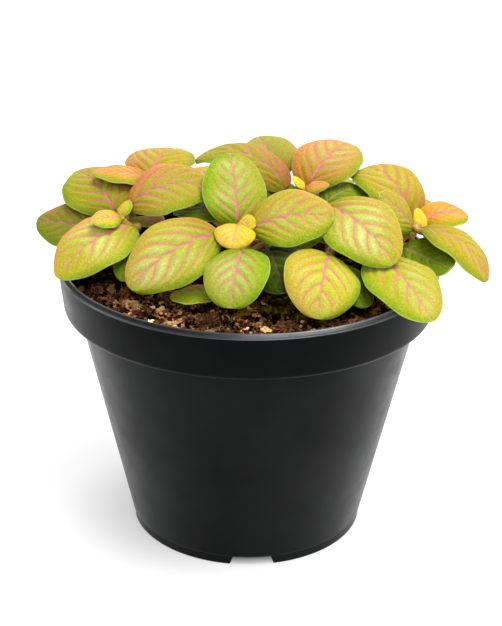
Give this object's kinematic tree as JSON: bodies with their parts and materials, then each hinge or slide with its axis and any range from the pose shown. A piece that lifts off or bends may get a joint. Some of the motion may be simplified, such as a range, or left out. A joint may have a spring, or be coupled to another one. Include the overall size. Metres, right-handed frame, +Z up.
{
  "type": "potted nerve plant",
  "caption": "Small pink-veined nerve plant with rounded green and yellow leaves in a round black nursery pot.",
  "frame": {"origin": "centre of the underside of the pot, where it stands on the ground", "axes": "+Z up, +X to the right as seen from the front, -Y towards the viewer"},
  "size_m": [0.142, 0.1275, 0.1229],
  "materials": {
    "pot": "satin",
    "soil": "matt, loose",
    "leaves": "satin"
  },
  "bodies": {
    "root": {"pot": "pot", "soil": "soil", "shoot_left": "leaves", "shoot_middle_left": "leaves", "shoot_centre": "leaves", "shoot_top": "leaves", "shoot_middle_right": "leaves", "shoot_right": "leaves", "shoot_back_1": "leaves", "shoot_back_2": "leaves", "shoot_back_3": "leaves", "shoot_back_4": "leaves"}
  },
  "joints": []
}
